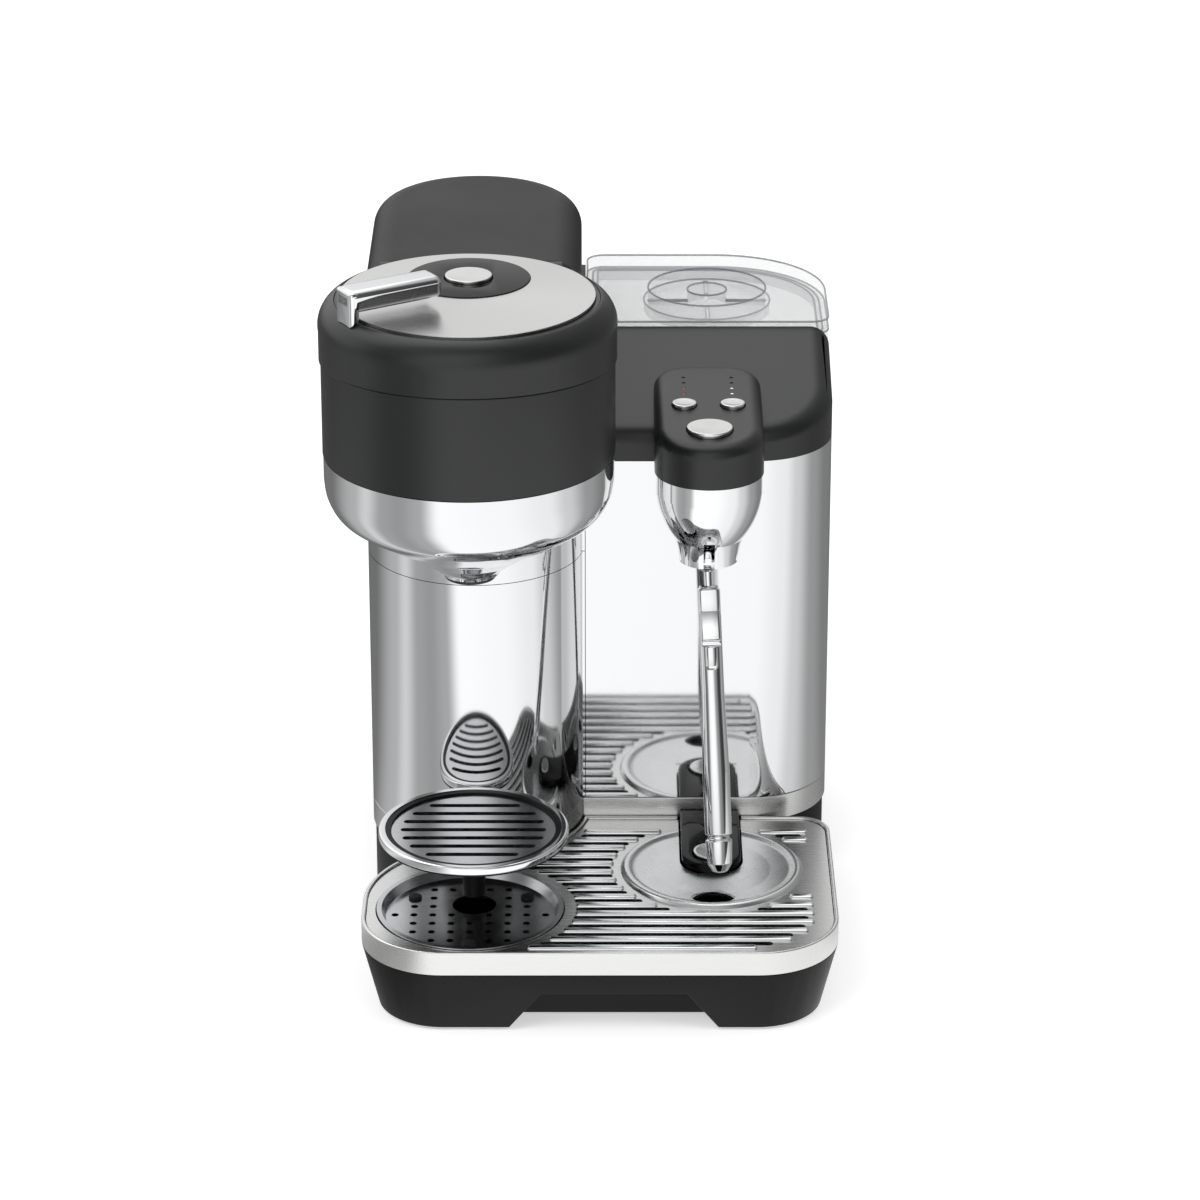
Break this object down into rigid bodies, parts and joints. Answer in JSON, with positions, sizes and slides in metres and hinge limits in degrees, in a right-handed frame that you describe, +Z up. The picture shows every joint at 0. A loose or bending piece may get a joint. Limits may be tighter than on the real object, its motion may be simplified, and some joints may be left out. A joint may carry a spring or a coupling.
{
  "type": "pod coffee machine",
  "caption": "Free-standing pod coffee machine with a round brew head on a polished tower, a steam wand, a lift-out tank and a sliding drip tray.",
  "frame": {"origin": "middle of the overall box, on the surface that the feet stand on", "axes": "+Z up, front towards -Y, +X to the right seen from the front"},
  "size_m": [0.2209, 0.3139, 0.331],
  "materials": {
    "satin_black": "satin moulded",
    "chassis_black": "textured moulded",
    "gloss_black": "gloss",
    "mirror_steel": "mirror polished stainless",
    "brushed_steel": "brushed stainless",
    "chrome": "polished chrome",
    "rubber": "moulded rubber",
    "clear_plastic": "clear smoky plastic",
    "cast_aluminium": "as cast",
    "board_green": "circuit board",
    "white_plastic": "moulded",
    "steel": "plain steel"
  },
  "bodies": {
    "base": {"base_frame": "chassis_black", "mains_inlet": "chassis_black", "rear_cover": "chassis_black", "rear_wall": "chassis_black", "container_bay": "chassis_black", "tank_seat": "chassis_black", "platform_bracket": "chassis_black", "hood": "satin_black", "brew_housing": "satin_black", "spout_insert": "satin_black", "pod_shell": "satin_black", "sensor_tongue": "gloss_black", "pod_lamps": "gloss_black", "body_panel": "mirror_steel", "tower_lower": "mirror_steel", "tower_upper": "mirror_steel", "brew_bowl": "mirror_steel", "base_band": "brushed_steel", "steam_cone": "chrome", "foot_pads": "rubber", "tank_seal": "rubber", "drive_belt": "rubber", "pump_mounts": "rubber", "thermoblock": "cast_aluminium", "steam_boiler": "cast_aluminium", "main_board": "board_green", "pod_board": "board_green", "pump": "white_plastic", "solenoid_valve": "white_plastic", "water_hose": "white_plastic", "base_screws": "steel", "hinge_pins": "steel", "holder_bearing": "steel", "brew_motor": "steel", "steam_pipe": "steel"},
    "tray": {"tray_body": "chassis_black", "tray_band": "brushed_steel", "ribbed_plate": "brushed_steel", "cup_grid": "mirror_steel"},
    "cup_platform": {"platform_pan": "chrome", "platform_grid": "brushed_steel"},
    "lid": {"lid_shell": "satin_black", "lid_disc": "brushed_steel", "control_disc": "gloss_black", "capsule_clamp": "chassis_black", "clamp_seal": "rubber"},
    "lock_lever": {"lock_ring": "brushed_steel", "lever": "chrome"},
    "brew_button": {"brew_button": "brushed_steel"},
    "wand": {"wand_tube": "chrome", "wand_tip": "chrome"},
    "steam_button": {"steam_button": "brushed_steel"},
    "milk_temp_button": {"milk_temp_button": "brushed_steel"},
    "foam_button": {"foam_button": "brushed_steel"},
    "sensor_pad": {"sensor_pad": "brushed_steel"},
    "tank": {"tank_shell": "clear_plastic"},
    "tank_lid": {"tank_lid": "clear_plastic"},
    "container": {"capsule_container": "satin_black"},
    "holder": {"capsule_holder": "brushed_steel"},
    "motor_pulley": {"motor_pulley": "cast_aluminium"}
  },
  "joints": [
    {"name": "tray_slide", "type": "slide", "parent": "base", "child": "tray", "axis": [0, -1, 0], "range_m": [0, 0.14]},
    {"name": "platform_lift", "type": "slide", "parent": "base", "child": "cup_platform", "axis": [0, 0, 1], "range_m": [0, 0.045]},
    {"name": "lid_hinge", "type": "hinge", "parent": "base", "child": "lid", "pos_m": [-0.0485, -0.032, 0.3063], "axis": [-1, 0, 0], "range_deg": [0, 50]},
    {"name": "lever_turn", "type": "hinge", "parent": "lid", "child": "lock_lever", "pos_m": [-0.0485, -0.095, 0.3173], "axis": [0, 0, 1], "range_deg": [0, 55]},
    {"name": "brew_press", "type": "slide", "parent": "lid", "child": "brew_button", "axis": [0, 0, -1], "range_m": [0, 0.0015], "stiffness_N_per_m": 600},
    {"name": "wand_swing", "type": "hinge", "parent": "base", "child": "wand", "pos_m": [0.054, -0.037, 0.178], "axis": [-1, 0, 0], "range_deg": [0, 45]},
    {"name": "steam_press", "type": "slide", "parent": "base", "child": "steam_button", "axis": [0, 0, -1], "range_m": [0, 0.0015], "stiffness_N_per_m": 600},
    {"name": "milk_temp_press", "type": "slide", "parent": "base", "child": "milk_temp_button", "axis": [0, 0, -1], "range_m": [0, 0.0015], "stiffness_N_per_m": 600},
    {"name": "foam_press", "type": "slide", "parent": "base", "child": "foam_button", "axis": [0, 0, -1], "range_m": [0, 0.0015], "stiffness_N_per_m": 600},
    {"name": "sensor_press", "type": "slide", "parent": "base", "child": "sensor_pad", "axis": [0, 0, -1], "range_m": [0, 0.0008], "stiffness_N_per_m": 600},
    {"name": "tank_lift", "type": "slide", "parent": "base", "child": "tank", "axis": [0, 0, 1], "range_m": [0, 0.2]},
    {"name": "tank_lid_lift", "type": "slide", "parent": "tank", "child": "tank_lid", "axis": [0, 0, 1], "range_m": [0, 0.05]},
    {"name": "container_lift", "type": "slide", "parent": "base", "child": "container", "axis": [0, 0, 1], "range_m": [0, 0.15]},
    {"name": "holder_spin", "type": "hinge", "parent": "base", "child": "holder", "pos_m": [-0.0485, -0.095, 0.24], "axis": [0, 0, 1], "continuous": true},
    {"name": "pulley_spin", "type": "hinge", "parent": "base", "child": "motor_pulley", "pos_m": [-0.0485, -0.0295, 0.24], "axis": [0, 0, 1], "continuous": true}
  ],
  "couplings": [
    {"joint": "pulley_spin", "follows": "holder_spin", "ratio": 4.625}
  ]
}
